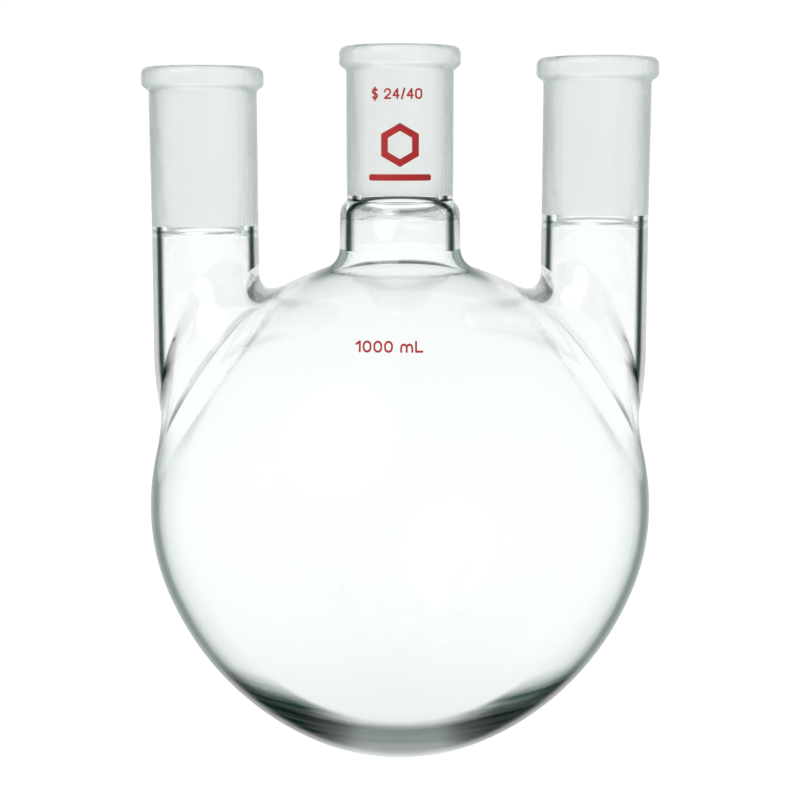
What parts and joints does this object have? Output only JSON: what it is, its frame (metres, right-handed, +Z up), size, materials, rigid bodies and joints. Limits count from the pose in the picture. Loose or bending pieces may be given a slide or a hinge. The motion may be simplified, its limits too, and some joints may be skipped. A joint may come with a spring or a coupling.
{
  "type": "three-neck round bottom flask",
  "caption": "Round bottom boiling flask with parallel upright necks, each with a beaded standard taper socket for stoppers, condensers or adapters.",
  "frame": {"origin": "lowest point of the bulb, on the centre neck's axis", "axes": "+Z up along the necks, +X through the necks from the lower side neck to the higher one, -Y towards the printed marks"},
  "size_m": [0.1316, 0.131, 0.1853],
  "materials": {
    "clear_glass": "clear borosilicate glass, fire polished",
    "ground_glass": "clear outside, fine ground bore",
    "red_enamel": "fired enamel, semi gloss"
  },
  "bodies": {
    "root": {"bulb": "clear_glass", "centre_neck": "clear_glass", "left_neck": "clear_glass", "right_neck": "clear_glass", "centre_joint": "ground_glass", "left_joint": "ground_glass", "right_joint": "ground_glass", "joint_size_mark": "red_enamel", "neck_emblem": "red_enamel", "capacity_mark": "red_enamel"}
  },
  "joints": []
}
